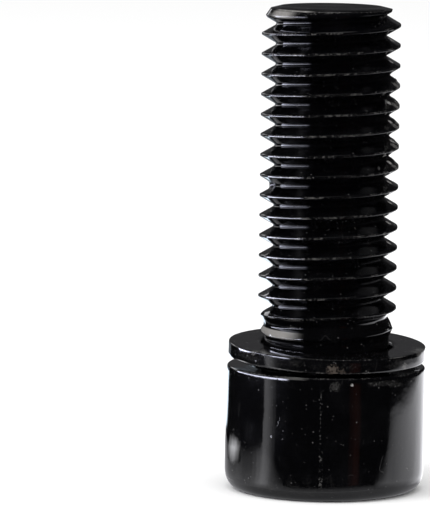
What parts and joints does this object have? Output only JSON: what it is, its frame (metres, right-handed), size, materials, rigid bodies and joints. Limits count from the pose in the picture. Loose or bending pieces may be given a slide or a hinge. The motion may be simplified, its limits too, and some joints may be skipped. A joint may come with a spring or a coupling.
{
  "type": "crank arm bolt",
  "caption": "Socket head cap screw with a coarse rolled thread and a captive flat washer, for clamping a crank arm.",
  "frame": {"origin": "centre of the head's socket end face, on which the bolt stands", "axes": "+Z along the bolt's axis, from the head towards the tip of the thread; +X square to one pair of the socket's flats"},
  "size_m": [0.0174, 0.0174, 0.042],
  "materials": {
    "black_coat": "gloss black coat over forged steel",
    "washer_coat": "gloss black coat, worn on its edges"
  },
  "bodies": {
    "bolt": {"bolt": "black_coat"},
    "washer": {"captive_washer": "washer_coat"}
  },
  "joints": [
    {"name": "washer_spin", "type": "hinge", "parent": "bolt", "child": "washer", "pos_m": [0, 0, 0.012], "axis": [0, 0, 1], "continuous": true}
  ]
}
